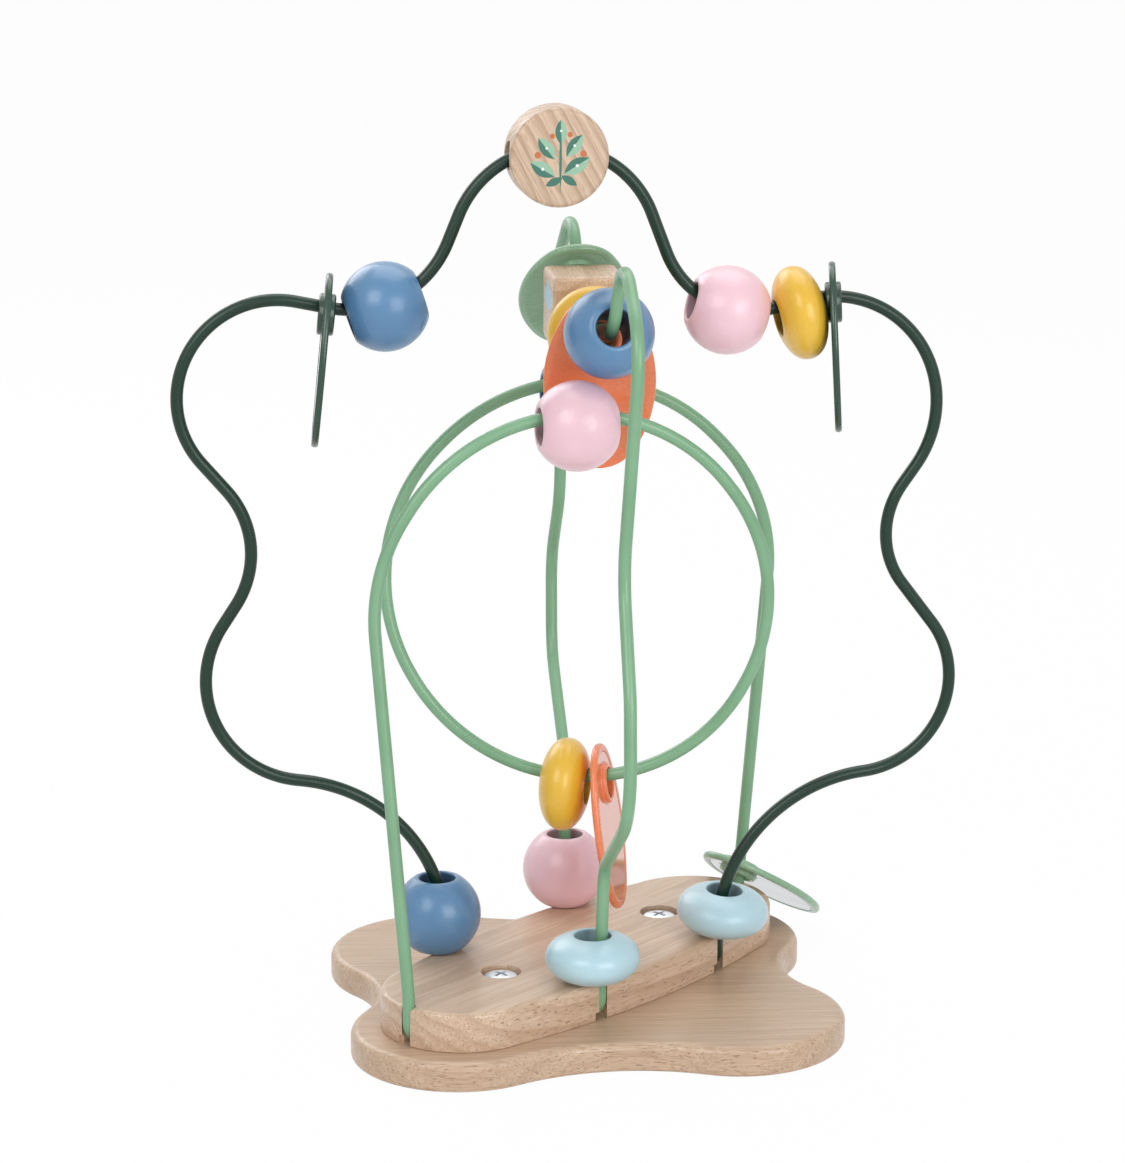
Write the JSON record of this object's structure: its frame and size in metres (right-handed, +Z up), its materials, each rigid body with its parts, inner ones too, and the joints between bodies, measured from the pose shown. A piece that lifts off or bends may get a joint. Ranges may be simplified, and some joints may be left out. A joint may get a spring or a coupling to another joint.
{
  "type": "bead maze",
  "caption": "Bead maze toy: a lobed beech foot with a clamp plate, three bent coated wires and the balls, ring beads, ovals, cube and disc that ride on them.",
  "frame": {"origin": "middle of the base plate's flat underside", "axes": "+Z up, +X to the right and +Y away from someone who stands in front of the toy"},
  "size_m": [0.2572, 0.1824, 0.3041],
  "materials": {
    "beech": "clear matt lacquer",
    "zinc": "zinc plated",
    "dark_green_coat": "satin coating",
    "light_green_coat": "satin coating",
    "mirror_film": "mirror",
    "blue_lacquer": "gloss lacquer",
    "pink_lacquer": "gloss lacquer",
    "yellow_lacquer": "gloss lacquer",
    "pale_blue_lacquer": "gloss lacquer",
    "dark_green_plastic": "gloss",
    "orange_plastic": "gloss",
    "light_green_plastic": "gloss"
  },
  "bodies": {
    "frame": {"base_plate": "beech", "clamp_plate": "beech", "front_screw": "zinc", "rear_screw": "zinc", "outer_wire": "dark_green_coat", "loop_wire": "light_green_coat", "arch_wire": "light_green_coat"},
    "top_disc": {"top_disc": "beech"},
    "left_ball": {"left_ball": "blue_lacquer"},
    "left_oval": {"left_oval": "dark_green_plastic", "left_mirror": "mirror_film"},
    "right_ball": {"right_ball": "pink_lacquer"},
    "right_ring": {"right_ring": "yellow_lacquer"},
    "right_oval": {"right_oval": "dark_green_plastic", "right_mirror": "mirror_film"},
    "left_foot_ball": {"left_foot_ball": "blue_lacquer"},
    "right_foot_ring": {"right_foot_ring": "pale_blue_lacquer"},
    "loop_ball": {"loop_ball": "pink_lacquer"},
    "loop_back_ball": {"loop_back_ball": "blue_lacquer"},
    "loop_ring": {"loop_ring": "yellow_lacquer"},
    "loop_oval": {"loop_oval": "orange_plastic", "loop_mirror": "mirror_film"},
    "foot_oval": {"foot_oval": "light_green_plastic", "foot_mirror": "mirror_film"},
    "arch_ball": {"arch_ball": "blue_lacquer"},
    "arch_oval": {"arch_oval": "orange_plastic", "arch_mirror": "mirror_film"},
    "arch_ring": {"arch_ring": "yellow_lacquer"},
    "arch_cube": {"arch_cube": "beech"},
    "back_oval": {"back_oval": "light_green_plastic", "back_mirror": "mirror_film"},
    "front_foot_ring": {"front_foot_ring": "pale_blue_lacquer"},
    "rear_foot_ball": {"rear_foot_ball": "pink_lacquer"}
  },
  "joints": [
    {"name": "top_disc_travel", "type": "hinge", "parent": "frame", "child": "top_disc", "pos_m": [-0.00888, -0.00149, 0.2567], "axis": [-0.1654, 0.9862, 0], "range_deg": [-42, 42]},
    {"name": "left_ball_travel", "type": "hinge", "parent": "frame", "child": "left_ball", "pos_m": [-0.07401, -0.01241, 0.2739], "axis": [0.1654, -0.9862, 0], "range_deg": [0, 42]},
    {"name": "left_oval_slide", "type": "slide", "parent": "frame", "child": "left_oval", "axis": [0.964, 0.1616, -0.2112], "range_m": [-0.02, 0]},
    {"name": "right_ball_travel", "type": "hinge", "parent": "frame", "child": "right_ball", "pos_m": [0.05578, 0.00935, 0.26727], "axis": [0.1654, -0.9862, 0], "range_deg": [-42, 0]},
    {"name": "right_ring_spin", "type": "hinge", "parent": "frame", "child": "right_ring", "pos_m": [0.0709, 0.01189, 0.23502], "axis": [0.963, 0.1615, 0.2159], "continuous": true},
    {"name": "right_oval_travel", "type": "hinge", "parent": "frame", "child": "right_oval", "pos_m": [0.08112, 0.0136, 0.20372], "axis": [-0.1654, 0.9862, 0], "range_deg": [0, 60]},
    {"name": "left_foot_ball_travel", "type": "hinge", "parent": "frame", "child": "left_foot_ball", "pos_m": [-0.10025, -0.01681, 0.02943], "axis": [0.1654, -0.9862, 0], "range_deg": [0, 45]},
    {"name": "right_foot_ring_travel", "type": "hinge", "parent": "frame", "child": "right_foot_ring", "pos_m": [0.10019, 0.0168, 0.02291], "axis": [0.1654, -0.9862, 0], "range_deg": [-45, 0]},
    {"name": "loop_ball_travel", "type": "hinge", "parent": "frame", "child": "loop_ball", "pos_m": [-0.00283, -0.03142, 0.14575], "axis": [-0.2173, 0.9761, 0.0054], "range_deg": [-42, 42]},
    {"name": "loop_back_ball_travel", "type": "hinge", "parent": "frame", "child": "loop_back_ball", "pos_m": [-0.00137, 0.03152, 0.14275], "axis": [-0.2051, 0.9786, -0.0132], "range_deg": [-35, 35]},
    {"name": "loop_ring_travel", "type": "hinge", "parent": "frame", "child": "loop_ring", "pos_m": [-0.00271, -0.00036, 0.14452], "axis": [0.1937, 0.981, 0.0084], "range_deg": [0, 50]},
    {"name": "loop_oval_travel", "type": "hinge", "parent": "frame", "child": "loop_oval", "pos_m": [-0.00271, -0.00036, 0.14452], "axis": [0.1937, 0.981, 0.0084], "range_deg": [-45, 0]},
    {"name": "foot_oval_slide", "type": "slide", "parent": "frame", "child": "foot_oval", "axis": [0.0703, -0.1205, 0.9902], "range_m": [0, 0.09]},
    {"name": "arch_ball_travel", "type": "hinge", "parent": "frame", "child": "arch_ball", "pos_m": [0.00762, -0.01966, 0.25664], "axis": [0.9892, 0.145, -0.0201], "range_deg": [-35, 0]},
    {"name": "arch_oval_swing", "type": "hinge", "parent": "frame", "child": "arch_oval", "pos_m": [0.00547, -0.0082, 0.23332], "axis": [-0.1449, 0.9894, 0.0063], "range_deg": [-35, 35]},
    {"name": "arch_ring_spin", "type": "hinge", "parent": "frame", "child": "arch_ring", "pos_m": [0.00387, 0.00274, 0.22979], "axis": [-0.1449, 0.9894, 0.0063], "continuous": true},
    {"name": "arch_cube_turn", "type": "hinge", "parent": "frame", "child": "arch_cube", "pos_m": [0.0006, 0.02505, 0.23476], "axis": [-0.1445, 0.9892, 0.0237], "range_deg": [-12, 12]},
    {"name": "back_oval_travel", "type": "hinge", "parent": "frame", "child": "back_oval", "pos_m": [-0.00397, 0.05767, 0.24398], "axis": [-0.9892, -0.145, 0.0201], "range_deg": [0, 18]},
    {"name": "front_foot_ring_slide", "type": "slide", "parent": "frame", "child": "front_foot_ring", "axis": [0.0323, -0.0713, 0.9969], "range_m": [0, 0.018]},
    {"name": "rear_foot_ball_slide", "type": "slide", "parent": "frame", "child": "rear_foot_ball", "axis": [0.003, 0.1255, 0.9921], "range_m": [0, 0.022]}
  ]
}
